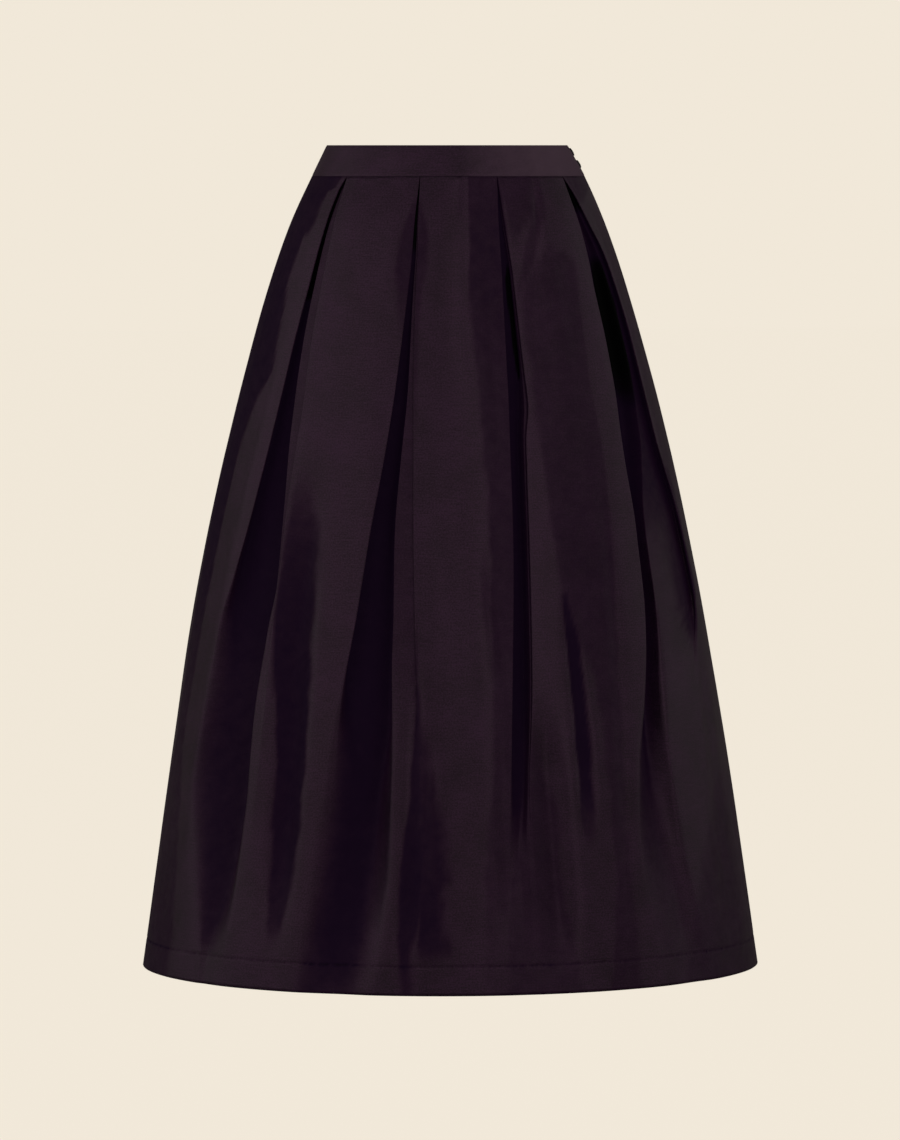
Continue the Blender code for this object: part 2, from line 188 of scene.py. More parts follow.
WIDE_WELL = (
    Pleat(0, -0.06, 0.06, 0.0, 3.6, 3.6, 20, 1, 0.9), Pleat(20, -0.2, 4.0, 3.2, 6, 3.8, 18, 0.9, 0.9),
    Pleat(45, 0.0, 6.8, 5.4, 10, 4.4, 15, 0.65, 0.9), Pleat(75, -0.4, 11.0, 9.0, 15, 5, 12, 0.85, 0.9),
    Pleat(110, -1.8, 13.0, 10.8, 20, 6, 11, 1, 0.9), Pleat(150, -2.2, 14.2, 11.6, 25, 7, 10, 1, 0.9),
    Pleat(200, -3.2, 13.8, 10.8, 28, 8, 10, 1, 0.9), Pleat(250, -4.7, 14.4, 8.6, 30, 8.5, 9, 1, 0.85),
    Pleat(283, -5.1, 16.4, 5.8, 31, 9, 8, 1, 0.85), Pleat(319, -5.0, 19.2, 2.4, 31, 8.5, 8, 1, 0.75),
    Pleat(356, -5.6, 20.4, 0.8, 31, 8, 7, 1, 0.3), Pleat(400, -6.3, 20.6, 0.0, 31, 7.5, 6.5, 1, 0.15),
    Pleat(448, -8.0, 16.0, -1.9, 29, 6, 4, 1, 0.1), Pleat(498, -10.7, 13.0, -4.7, 26, 4, 1, 1, 0),
    Pleat(560, -14.6, 10.0, -7.2, 20, 2.5, 0, 0.85, 0),
    Pleat(640, -16.8, 6.0, -8.2, 12, 1.2, 0, 0.6, 0), Pleat(700, -15.8, 4.0, -6.5, 6, 0.6, 0, 0.35, 0),
    Pleat(770, -14.2, 3.0, -5.0, 2.5, 0.3, 0, 0.2, 0))

FRONT_PLEATS = tuple(zip(PLEAT_ANGLES, (SIDE_WAVE, DEEP_WAVE, NARROW_SLIT, WIDE_WELL)))
BACK_PLEATS = tuple(zip(PLEAT_ANGLES, (SIDE_WAVE, NARROW_SLIT, DEEP_WAVE, SIDE_WAVE)))

# Creases in the cloth: where each starts and ends, its angle at the two ends, how far it bows between
# them, half its width at the two ends, how far in it goes, and how much steeper one side is. A ridge
# goes out, so its depth is below zero.
Crease = namedtuple("Crease", "top bottom angle_top angle_bottom bow width_top width_bottom depth lean",
                    defaults=(1.0,))
FRONT_CREASES = (
    Crease(255, 748, -40.5, -39.6, 0.4, 19, 14, 13.0, 1.1),
    Crease(480, 765, 15.2, 16.6, 0, 13, 14, 9.0, 1.2),
    Crease(250, 745, 37.5, 30.6, 0, 6, 10, 1.8),
    Crease(400, 765, 67.0, 61.0, 0.8, 10, 14, 2.6),
    Crease(560, 750, 45.0, 45.6, 0, 6, 9, 3.0),
    Crease(385, 632, 22.4, 23.8, 0.5, 5, 8, 5.0),
    Crease(290, 620, 20.1, 27.3, 1.4, 4, 7, -1.0),
    Crease(-10, 330, 8.0, 9.5, 0.5, 8, 14, 2.6),
    Crease(395, 490, 4.6, 5.2, 0, 5, 6, 2.0),
    Crease(470, 740, 6.2, 6.6, 0, 9, 12, 4.0),
    Crease(500, 750, -8.9, -6.6, 0, 6, 9, 3.0),
    Crease(430, 768, -11.2, -12.4, 0, 4, 9, 4.0),
    Crease(-8, 38, 0.4, -0.8, 0, 3, 3, 1.2),
    Crease(22, 120, -19.4, -20.5, 0, 7, 8, 1.2),
    Crease(22, 120, -12.6, -11.0, 0, 7, 8, 1.0),
    Crease(-8, 105, 32.6, 21.0, 3.0, 4, 5, 2.0),
    Crease(38, 70, 28.0, 18.0, 0, 4, 5, 1.4),
    Crease(480, 760, 19.5, 21.6, 0, 9, 14, -1.6),
    Crease(120, 700, -58.5, -70.0, -1.0, 7, 16, -2.0))
BACK_CREASES = (
    Crease(310, 745, -34.0, -32.0, 0.6, 12, 10, 6.0),
    Crease(470, 765, -1.0, 1.5, 0, 10, 12, 5.0),
    Crease(260, 745, 25.0, 22.0, 0.8, 9, 12, 6.0),
    Crease(430, 765, 72.0, 70.0, 0, 8, 10, 4.0),
    Crease(450, 765, -72.0, -70.0, 0, 8, 12, 4.0),
    Crease(360, 610, 5.5, 3.0, 0.5, 4, 7, 8.0),
    Crease(-8, 60, -8.0, -6.0, 0, 4, 6, 1.6),
    Crease(-8, 110, 33.0, 29.0, 2.0, 4, 6, 2.0),
    Crease(30, 150, -28.0, -34.0, 1.0, 5, 7, 2.0),
    Crease(20, 130, 0.5, 2.0, 0, 5, 8, 1.6))

# Painted shade, where the cloth turns its sheen away from the light, beside the pleats: the two edges in
# degrees, how dark the painted shade is between them, and how soft each edge is.
PaintedShade = namedtuple("PaintedShade", "down left right dark soft_left soft_right")
FRONT_PAINTED_SHADE = (
    # Over the hip, past the last pleat.
    (PaintedShade(20, 64, 95, 0.0, 1, 2), PaintedShade(60, 66, 95, 0.25, 1, 2), PaintedShade(260, 68, 95, 0.25, 1, 2),
     PaintedShade(330, 76, 95, 0.0, 1, 2)),
    # In the trough beside the first pleat.
    (PaintedShade(270, -44.5, -42.5, 0.0, 1, 2), PaintedShade(308, -45.8, -39.5, 0.5, 1, 2),
     PaintedShade(345, -46.8, -36.2, 0.80, 0.8, 2), PaintedShade(423, -46.8, -36.3, 0.92, 0.5, 1.2),
     PaintedShade(530, -43.7, -35.2, 0.95, 0.5, 0.9), PaintedShade(655, -42.4, -36.2, 0.92, 0.6, 0.8),
     PaintedShade(708, -41.7, -37.8, 0.8, 0.6, 0.8), PaintedShade(728, -40.5, -38.6, 0.0, 1, 1)),
    # The slit beside the second pleat, down to the hem.
    (PaintedShade(405, -11.9, -11.4, 0.0, 0.40, 0.3), PaintedShade(491, -11.8, -10.8, 0.8, 0.40, 0.4),
     PaintedShade(579, -12.8, -10.1, 0.9, 0.4, 0.4), PaintedShade(668, -14.4, -10.0, 0.95, 0.5, 0.5),
     PaintedShade(752, -14.1, -12.0, 0.85, 0.6, 0.8), PaintedShade(771, -13.9, -12, 0.7, 0.6, 0.8)),
    # The ragged patch beside that slit.
    (PaintedShade(505, -10.6, -10.0, 0.0, 0.5, 0.6), PaintedShade(540, -10.6, -9.0, 0.7, 0.5, 0.8),
     PaintedShade(588, -10.6, -7.2, 0.78, 0.5, 1.3), PaintedShade(622, -10.6, -5.6, 0.84, 0.5, 1.7),
     PaintedShade(650, -10.8, -4.8, 0.84, 0.5, 1.8), PaintedShade(695, -11.0, -6.4, 0.92, 0.5, 1.5),
     PaintedShade(725, -11.0, -5.2, 0.86, 0.5, 1.3), PaintedShade(744, -10.5, -7.5, 0.0, 1, 1)),
    # The middle panel, along the third pleat.
    (PaintedShade(-1, 3.6, 17.0, 0.55, 0.2, 0.5), PaintedShade(60, 3.2, 17.0, 0.78, 0.3, 0.5),
     PaintedShade(110, 2.4, 17.0, 0.74, 0.9, 0.5), PaintedShade(200, 3.6, 14.0, 0.62, 1.2, 0.5),
     PaintedShade(349, 5.2, 11.5, 0.68, 0.8, 0.5), PaintedShade(420, 4.6, 10.5, 0.62, 0.8, 0.5),
     PaintedShade(526, 4.5, 8.4, 0.46, 0.7, 0.5), PaintedShade(668, 1.9, 7.0, 0.42, 0.7, 0.5),
     PaintedShade(738, 1.8, 6.5, 0.2, 1, 1), PaintedShade(771, 1.8, 6.5, 0.2, 1, 1)),
    # A small patch of painted shade on the middle panel.
    (PaintedShade(345, 3.4, 4.6, 0.0, 0.4, 0.5), PaintedShade(395, 2.8, 4.9, 0.45, 0.4, 0.5),
     PaintedShade(445, 4.0, 4.9, 0.0, 0.4, 0.5)),
    # Below the third pleat, where it runs out.
    (PaintedShade(495, 12.2, 12.8, 0.0, 0.40, 0.8), PaintedShade(560, 11.2, 15.0, 0.42, 0.4, 1),
     PaintedShade(600, 9.5, 17.0, 0.5, 0.5, 1), PaintedShade(652, 7.3, 17.5, 0.5, 0.5, 1),
     PaintedShade(738, 5.6, 19.0, 0.45, 0.5, 1), PaintedShade(771, 5.4, 20.0, 0.4, 0.5, 1)),
    # Under the waist seam, past the third pleat.
    (PaintedShade(-1, 17.0, 32.5, 0.44, 0.5, 1), PaintedShade(32, 18.0, 30.0, 0.46, 0.6, 1),
     PaintedShade(46, 18.5, 25.5, 0.46, 0.8, 1), PaintedShade(56, 18.2, 21.0, 0.40, 0.8, 1),
     PaintedShade(64, 18.3, 19.0, 0.0, 0.5, 0.5)),
    # Along the slanting crease under the waist seam.
    (PaintedShade(-1, 33.7, 36.4, 0.25, 0.8, 0.4), PaintedShade(32, 30.5, 35.3, 0.44, 0.8, 0.8),
     PaintedShade(53, 25.5, 30.0, 0.46, 0.8, 0.8), PaintedShade(80, 21.5, 25.7, 0.46, 0.6, 0.8),
     PaintedShade(108, 18.0, 20.0, 0.44, 0.5, 0.6), PaintedShade(119, 17.6, 18.2, 0.0, 0.4, 0.4)),
    # The broad band down the panel between the third and fourth pleats.
    (PaintedShade(60, 33.0, 34.0, 0.0, 1, 1), PaintedShade(70, 31.0, 36.0, 0.40, 1, 1.5),
     PaintedShade(84, 25.5, 43.0, 0.44, 1.2, 1.5), PaintedShade(118, 19.3, 40.9, 0.44, 1, 0.8),
     PaintedShade(203, 19.3, 38.8, 0.46, 1, 0.6), PaintedShade(300, 20.3, 38.5, 0.52, 0.8, 0.5),
     PaintedShade(386, 21.6, 36.7, 0.58, 0.6, 0.5), PaintedShade(452, 25.4, 34.9, 0.54, 0.6, 0.6),
     PaintedShade(484, 28.0, 34.4, 0.52, 0.8, 0.6), PaintedShade(640, 29.0, 32.4, 0.46, 0.8, 0.8),
     PaintedShade(771, 25.5, 32.2, 0.44, 0.8, 1)),
    # The short fold in that panel.
    (PaintedShade(388, 21.6, 22.2, 0.0, 0.40, 0.3), PaintedShade(398, 21.4, 23.0, 0.9, 0.40, 0.3),
     PaintedShade(450, 21.9, 24.9, 1.0, 0.40, 0.3), PaintedShade(528, 21.9, 25.5, 1.0, 0.40, 0.4),
     PaintedShade(583, 21.9, 25.2, 0.95, 0.4, 0.5), PaintedShade(610, 22.0, 24.9, 0.7, 0.5, 0.8),
     PaintedShade(640, 22.7, 23.9, 0.0, 0.6, 0.8)),
    # The side towards the wearer's right, from waist to hem.
    (PaintedShade(-1, -100, -54.0, 0.90, 1, 0.5), PaintedShade(11, -100, -56.8, 0.90, 1, 0.6),
     PaintedShade(16, -100, -60.8, 0.90, 1, 0.8), PaintedShade(42, -100, -61.4, 0.90, 1, 0.8),
     PaintedShade(52, -100, -62.8, 0.90, 1, 0.7), PaintedShade(58, -100, -66.4, 0.90, 1, 0.8),
     PaintedShade(97, -100, -67.4, 0.92, 1, 0.8), PaintedShade(130, -100, -65.8, 0.92, 1, 0.8),
     PaintedShade(186, -100, -63.6, 0.92, 1, 0.9), PaintedShade(208, -100, -68.0, 0.92, 1, 0.9),
     PaintedShade(255, -100, -72.8, 0.92, 1, 0.7), PaintedShade(330, -88, -74.4, 0.92, 1, 0.7),
     PaintedShade(470, -86, -76.4, 0.72, 1, 0.7), PaintedShade(540, -86, -78.2, 0.6, 1, 0.8),
     PaintedShade(620, -95, -73.5, 0.45, 1, 1.5), PaintedShade(742, -100, -70.0, 0.62, 1, 1.5),
     PaintedShade(771, -100, -70.5, 0.62, 1, 1.5)),
    # The head of the second pleat, towards the wearer's right.
    (PaintedShade(16, -17.4, -15.4, 0.0, 0.6, 0.5), PaintedShade(34, -18.9, -15.0, 0.55, 1, 0.5),
     PaintedShade(56, -21.0, -15.0, 0.72, 1.2, 0.5), PaintedShade(94, -21.8, -15.5, 0.70, 1.2, 0.5),
     PaintedShade(112, -20.4, -16.0, 0.60, 1.0, 0.5), PaintedShade(160, -18.6, -17, 0.0, 0.5, 0.5)),
    # The head of the second pleat, towards the middle.
    (PaintedShade(16, -16.4, -15.3, 0.0, 0.5, 0.4), PaintedShade(34, -15.4, -13.8, 0.55, 0.5, 0.8),
     PaintedShade(56, -14.8, -11.2, 0.66, 0.5, 1), PaintedShade(78, -14.8, -11.0, 0.62, 0.5, 1.2),
     PaintedShade(107, -14.6, -12.5, 0.52, 0.5, 0.8), PaintedShade(180, -14.2, -13.0, 0.42, 0.40, 0.5),
     PaintedShade(270, -13.4, -12.7, 0.0, 0.40, 0.4)),
    # Under the waist seam, at the wearer's left.
    (PaintedShade(-1, 54.0, 95, 0.40, 0.5, 2), PaintedShade(11, 54.5, 76.7, 0.42, 0.5, 2),
     PaintedShade(19, 56.3, 66.3, 0.45, 0.8, 2), PaintedShade(28, 57.0, 58.9, 0.0, 1, 1)),
    # Beyond the fourth pleat's shelf.
    (PaintedShade(272, 58.0, 69.0, 0.0, 1, 1), PaintedShade(286, 60.0, 71.5, 0.5, 1, 1),
     PaintedShade(320, 63.1, 72.7, 0.6, 1, 1), PaintedShade(395, 63.5, 74.3, 0.78, 1, 1),
     PaintedShade(431, 63.9, 70.0, 0.8, 0.8, 0.8), PaintedShade(462, 64.8, 66.0, 0.0, 0.8, 0.8)),
    # The lower side towards the wearer's left.
    (PaintedShade(560, 72.0, 95, 0.0, 2, 2), PaintedShade(600, 62.8, 95, 0.26, 2, 2), PaintedShade(681, 52.3, 95, 0.40, 2, 2),
     PaintedShade(771, 44.0, 95, 0.42, 2, 2)))
BACK_PAINTED_SHADE = (
    # Down the panel between the first and second pleats.
    (PaintedShade(330, -36.5, -31.5, 0.0, 2, 3), PaintedShade(420, -37.0, -31.5, 0.7, 1.5, 3),
     PaintedShade(600, -35.5, -30.5, 0.85, 1.2, 2), PaintedShade(700, -34.5, -31.0, 0.6, 1.5, 2),
     PaintedShade(742, -34.0, -31.5, 0.0, 2, 2)),
    # Down the panel between the third and fourth pleats.
    (PaintedShade(320, 21.5, 26.5, 0.0, 2, 3), PaintedShade(450, 20.5, 26.5, 0.7, 1.5, 2.5),
     PaintedShade(620, 20.0, 25.5, 0.8, 1.2, 2), PaintedShade(740, 20.5, 24.0, 0.0, 2, 2)),
    # The middle panel, along the third pleat.
    (PaintedShade(0, 0.5, 15.5, 0.30, 0.4, 0.5), PaintedShade(150, 1.0, 14.0, 0.30, 1, 0.5),
     PaintedShade(420, 2.0, 11.0, 0.28, 1.5, 0.5), PaintedShade(640, 3.5, 8.5, 0.35, 1.5, 1),
     PaintedShade(720, 4.0, 8.0, 0.0, 2, 1)),
    # The panel between the third and fourth pleats, fainter and wider.
    (PaintedShade(120, 18.0, 30.0, 0.0, 1, 4), PaintedShade(220, 17.0, 36.0, 0.30, 1, 4),
     PaintedShade(420, 17.0, 30.0, 0.26, 1, 3), PaintedShade(620, 17.0, 24.0, 0.0, 1, 3)),
    # The side towards the wearer's right, from waist to hem.
    (PaintedShade(-1, 72.0, 100, 0.45, 3, 1), PaintedShade(100, 66.0, 100, 0.50, 2, 1),
     PaintedShade(300, 75.0, 100, 0.50, 2, 1), PaintedShade(650, 80.0, 100, 0.45, 2, 1),
     PaintedShade(771, 76.0, 100, 0.55, 2, 1)),
    # The head of the second pleat.
    (PaintedShade(50, -21.0, -18.5, 0.0, 1, 1), PaintedShade(80, -22.0, -17.5, 0.6, 1, 1),
     PaintedShade(140, -20.0, -16.5, 0.0, 1, 1)))

# Painted black shadow in the narrow gaps high in the pleats that no light gets into.
FRONT_PAINTED_GAP_SHADOW = (
    (PaintedShade(-2, -54, -51, 0.5, 0.4, 0.4), PaintedShade(25, -57, -49, 1.0, 0.4, 0.4),
     PaintedShade(112, -59, -49, 1.0, 0.4, 0.4), PaintedShade(120, -59, -49, 0.0, 0.4, 0.4)),
    (PaintedShade(2, -17.5, -14.5, 0.8, 0.3, 0.3), PaintedShade(55, -17.5, -14.0, 0.9, 0.3, 0.3),
     PaintedShade(74, -17.5, -14.0, 0.0, 0.3, 0.3)),
    (PaintedShade(84, 16.8, 18.0, 0.0, 0.2, 0.3), PaintedShade(97, 15.6, 19.0, 1.0, 0.2, 0.3),
     PaintedShade(150, 15.9, 19.0, 1.0, 0.2, 0.3), PaintedShade(184, 16.6, 18.2, 1.0, 0.2, 0.3),
     PaintedShade(198, 17.0, 17.4, 0.0, 0.2, 0.3)),
    (PaintedShade(2, 51.0, 60.0, 0.9, 0.5, 0.5), PaintedShade(24, 54.5, 60.0, 1.0, 0.5, 0.5),
     PaintedShade(34, 56.0, 60.0, 0.0, 0.5, 0.5)),
    (PaintedShade(76, 60.2, 61.8, 0.0, 0.5, 0.5), PaintedShade(98, 60.2, 63.0, 0.9, 0.8, 0.5),
     PaintedShade(130, 59.8, 64.4, 1.0, 0.8, 0.5), PaintedShade(170, 60.4, 64.2, 1.0, 0.8, 0.5),
     PaintedShade(198, 61.2, 63.4, 0.6, 0.8, 0.5), PaintedShade(224, 61.6, 62.4, 0.0, 1, 0.5)))
BACK_PAINTED_GAP_SHADOW = (
    (PaintedShade(-2, -54, -51, 0.5, 0.4, 0.4), PaintedShade(25, -57, -49, 1.0, 0.4, 0.4),
     PaintedShade(100, -59, -49, 1.0, 0.4, 0.4), PaintedShade(112, -59, -49, 0.0, 0.4, 0.4)),
    (PaintedShade(2, 14.5, 17.5, 0.8, 0.3, 0.3), PaintedShade(60, 14.0, 17.5, 0.9, 0.3, 0.3),
     PaintedShade(84, 14.0, 17.5, 0.0, 0.3, 0.3)))

# Short dents that the waist seam draws into each length, and dimples where the hem is stitched: how many,
# as far round as reach to each side, at what height, and the least and most of each one's share of its
# space, drift down, half width, half length and depth.
Dents = namedtuple("Dents", "first_seed count reach height share drift width length depth")
PUCKERS = Dents(0, 46, 86, 0, (0.1, 0.9), (-3, 5), (1.6, 3.4), (7, 20), (0.1, 0.6))
DIMPLES = Dents(5, 104, 89, HEM_LINE - 0.5, (0.3, 0.7), (-0.8, 0.8), (1.4, 2.6), (1.2, 2.4), (0.05, 0.5))

# Rows of points down the cloth: close together below the waist seam and on both sides of the hem line.
SEAM_ROWS, SEAM_STEP, SEAM_ROWS_END = 12, 2.5, 30
BODY_ROWS = 94
HEM_ROWS, HEM_STEP, HEM_ROWS_SPAN = 8, 1.25, 5
CORNER_CUTS = 2         # times that each corner of a pleat's outline is cut off
LOOSE_PASSES = 8        # times that the outline is then slackened, towards the hem only


def at(table, down):
    """A table's row at any height, on a smooth run through its rows that never overshoots them."""
    down = min(max(down, table[0].down), table[-1].down)
    k = next(k for k in range(len(table) - 1) if down <= table[k + 1].down)
    low, high = table[k], table[k + 1]
    span = high.down - low.down
    t = (down - low.down) / span
    values = []
    for column in range(1, len(low)):
        slopes = [(b[column] - a[column]) / (b.down - a.down) for a, b in zip(table, table[1:])]
        ends = []
        for knot in (k, k + 1):
            if 0 < knot < len(slopes) and slopes[knot - 1] * slopes[knot] > 0:
                ends.append(2 / (1 / slopes[knot - 1] + 1 / slopes[knot]))
            else:
                ends.append(0.0 if 0 < knot < len(slopes) else slopes[min(knot, len(slopes) - 1)])
        a, b = low[column], high[column]
        values.append((2 * t**3 - 3 * t**2 + 1) * a + (t**3 - 2 * t**2 + t) * span * ends[0]
                      + (3 * t**2 - 2 * t**3) * b + (t**3 - t**2) * span * ends[1])
    return type(low)(down, *values)


def ease(value, start, end):
    """0 before start, 1 after end, smooth between."""
    t = min(max((value - start) / (end - start), 0), 1)
    return t * t * (3 - 2 * t)


def place(form, angle, inset):
    """A point of the plan, in millimetres: round from the centre front, and in from the form."""
    a, b = form.half_width, form.half_depth
    x, y = a * sin(radians(angle)), -b * cos(radians(angle))
    inward = Vector((-x / a**2, -y / b**2)).normalized()
    return Vector((x, y)) + inward * inset


def arc(form, angle):
    """Millimetres round the form for each degree."""
    return hypot(form.half_width * cos(radians(angle)), form.half_depth * sin(radians(angle))) * pi / 180


def pleat_run(form, line, pleat, down):
    """One pleat from just before its left edge to just past its right: angle, inset and its painted shade."""
    left, right, bank = line + pleat.left, line + pleat.right, line + pleat.bank
    deep, rise = pleat.depth, pleat.rise
    openness = 1 - min(pleat.tuck / 6, 1)
    soft = 1.2 + 10.0 * openness * ease(down, 60, 600)
    slot, shelf = bank - left, right - bank
    under_left = left - pleat.tuck / arc(form, left)
    under_right = right + pleat.tuck / arc(form, right)
    step = min((4 + 10 * ease(down, 470, 720)) / arc(form, bank), shelf * 0.34)
    tucked_bank = bank + min(1.5 / arc(form, bank), shelf * 0.2)
    brim = bank + min(0.8 / arc(form, bank), shelf * 0.2)
    folded = [
        (left, 0), (left, LAYER), (under_left, max(LAYER, deep * 0.3)), (under_left, deep * 0.55),
        (left + slot * 0.5, deep * 0.78), (tucked_bank, deep), (bank, rise), (brim, rise),
        (under_right, rise), (under_right, max(LAYER, rise * 0.5)), (right, min(LAYER, rise)), (right, 0)]
    opened = [
        (left, 0), (left + slot * 0.15, deep * 0.18), (left + slot * 0.35, deep * 0.45),
        (left + slot * 0.6, deep * 0.75), (left + slot * 0.85, deep), (bank, deep),
        (bank + step, (deep + rise) / 2), (bank + step * 1.5, rise * 1.1), (bank + step * 2, rise),
        (bank + shelf * 0.8, rise * 0.6), (right - shelf * 0.08, rise * 0.2), (right, 0)]
    # Painted shade for the pleat's well and its shelf, where the light does not reach.
    well, painted_shelf_shade = pleat.well, pleat.shelf
    painted_shade_folded = (0, 0.5 * well, well, well, well, well, painted_shelf_shade, painted_shelf_shade, painted_shelf_shade, painted_shelf_shade, painted_shelf_shade * 0.4, 0)
    painted_shade_opened = (0, 0.8 * well, well, well, well, well * 0.9, painted_shelf_shade, painted_shelf_shade, painted_shelf_shade * 0.7, painted_shelf_shade * 0.4, 0, 0)
    points = [Vector((a + (c - a) * openness, b + (d - b) * openness, e + (f - e) * openness))
              for (a, b), (c, d), e, f in zip(folded, opened, painted_shade_folded, painted_shade_opened)]
    points.insert(0, Vector((left - soft / arc(form, left), 0, 0)))
    points.append(Vector((right + soft / arc(form, right), 0, 0)))
    for _ in range(CORNER_CUTS):
        cut = [points[0]]
        for a, b in zip(points, points[1:]):
            cut += [a * 0.75 + b * 0.25, a * 0.25 + b * 0.75]
        points = [points[0]] + cut[2:-1] + [points[-1]]
    loose = 0.5 * ease(down, 520, 700)
    for _ in range(LOOSE_PASSES):
        points = [points[0]] + [
            b + Vector((((a.x + c.x) / 2 - b.x) * loose, ((a.y + c.y) / 2 - b.y) * loose,
                        ((a.z + c.z) / 2 - b.z) * loose * 0.3))
            for a, b, c in zip(points, points[1:], points[2:])] + [points[-1]]
    return [tuple(point) for point in points]


def section(pleats, down, allowance):
    """The outer face of the cloth at one height, side seam to side seam: angle, inset, and its painted shade.
    """
    form = at(FORM, down)
    seam = 90 - SEAM_CLEAR / arc(form, 90)
    stops = [(-seam - past / arc(form, 90), inset, 0) for past, inset in allowance] + [(-seam, 0, 0)]
    angle = -seam
    for (line, table), columns in zip(pleats, PANEL_COLUMNS):
        run = pleat_run(form, line, at(table, down), down)
        first = run[0][0]
        stops += [(angle + (first - angle) * k / columns, 0, 0) for k in range(1, columns)]
        stops += run
        angle = run[-1][0]
    columns = PANEL_COLUMNS[-1]
    stops += [(angle + (seam - angle) * k / columns, 0, 0) for k in range(1, columns + 1)]
    stops += [(seam + past / arc(form, 90), inset, 0) for past, inset in reversed(allowance)]
    return form, stops


def crease_depth(creases, form, angle, down):
    """How far all the creases press the cloth in at one point."""
    total = 0.0
    for c in creases:
        if c.top < down < c.bottom:
            t = (down - c.top) / (c.bottom - c.top)
            centre = c.angle_top + (c.angle_bottom - c.angle_top) * t + c.bow * sin(pi * t)
            width = c.width_top + (c.width_bottom - c.width_top) * t
            off = (angle - centre) * arc(form, angle) / width
            off *= c.lean if off > 0 else 1 / c.lean
            if abs(off) < 3:
                total += c.depth * exp(-off * off) * ease(t, 0, 0.35) * (1 - ease(t, 0.7, 1))
    return total


def painted_shade_at(tables, angle, down, seed):
    """How much shade is painted at one point, with frayed edges."""
    fray = 0.9 * noise.noise(Vector((angle * 0.25, down * 0.035, seed))) + 0.5 * noise.noise(
        Vector((angle * 0.7, down * 0.09, seed + 9)))
    darkest = 0.0
    for table in tables:
        if table[0].down < down < table[-1].down:
            d = at(table, down)
            left, right = d.left + fray * d.soft_left, d.right + fray * d.soft_right
            between = ease(angle, left - d.soft_left, left + d.soft_left)
            between *= 1 - ease(angle, right - d.soft_right, right + d.soft_right)
            darkest = max(darkest, d.dark * between)
    return darkest


def scatter(seed, k, low, high):
    """A fixed, even-looking draw for the k-th of a series."""
    return low + (high - low) * noise.cell(Vector((seed + 0.5, k + 0.5, 7.5)))


def seam_dents(seed):
    """Every pucker and dimple: angle, down, half width, half length and depth."""
    dents = []
    for kind in (PUCKERS, DIMPLES):
        ranges = (kind.share, kind.drift, kind.width, kind.length, kind.depth)
        for k in range(kind.count):
            share, drift, width, length, depth = (
                scatter(seed + kind.first_seed + n, k, *ends) for n, ends in enumerate(ranges))
            angle = -kind.reach + 2 * kind.reach * (k + share) / kind.count
            dents.append((angle, kind.height + drift, width, length, depth))
    return dents


def dent_depth(dents, form, angle, down):
    """How far the puckers and dimples press the cloth in at one point."""
    total = 0.0
    for where, height, width, length, depth in dents:
        v = (down - height) / length
        if abs(v) < 2.2:
            u = (angle - where) * arc(form, angle) / width
            if abs(u) < 2.5:
                total += depth * exp(-u * u - v * v)
    return total


def rows_down():
    """Heights of the rows: close together at the waist seam and at the hem line, wider between."""
    top, foot = HEM_LINE - HEM_ROWS_SPAN, HEM_LINE + HEM_ROWS_SPAN
    rows = [SEAM_CLEAR + SEAM_STEP * k for k in range(SEAM_ROWS)]
    rows += [SEAM_ROWS_END + (top - SEAM_ROWS_END) * k / BODY_ROWS for k in range(BODY_ROWS)]
    rows += [top + HEM_STEP * k for k in range(HEM_ROWS)]
    rows += [foot + (LENGTH - foot) * k / (HEM_ROWS - 1) for k in range(HEM_ROWS)]
    return rows


def cloth_sheet(name, place_at, columns, rows):
    """A sheet of cloth: a flat grid whose points are then set by place_at(column, row).

    place_at gives each point, how far along the cloth it lies in metres, and how much painted shade, painted
    sheen and stitch darkening it takes, if any.
    """
    mesh = bmesh.new()
    uv = mesh.loops.layers.uv.new("cloth")
    # Painted shade, painted sheen and the darker stitch line, carried on to the material.
    dull = mesh.verts.layers.float.new("dull")
    bmesh.ops.create_grid(mesh, x_segments=columns - 1, y_segments=rows - 1, size=1)
    spots = {}
    for vert in mesh.verts:
        column = round((vert.co.x + 1) / 2 * (columns - 1))
        row = round((1 - vert.co.y) / 2 * (rows - 1))
        spots[vert] = place_at(column, row)
    for vert, (point, _, *painted_values) in spots.items():
        vert.co = point
        vert[dull] = painted_values[0] if painted_values else 0.0
    for face in mesh.faces:
        face.smooth = True
        for loop in face.loops:
            loop[uv].uv = spots[loop.vert][1]
    data = bpy.data.meshes.new(name)
    mesh.to_mesh(data)
    mesh.free()
    made = bpy.data.objects.new(name, data)
    bpy.context.scene.collection.objects.link(made)
    return made


def thicken(piece, thick):
    """Give a sheet its thickness, inwards."""
    wall = piece.modifiers.new("wall", "SOLIDIFY")
    wall.thickness = thick * MM
    wall.offset = -1


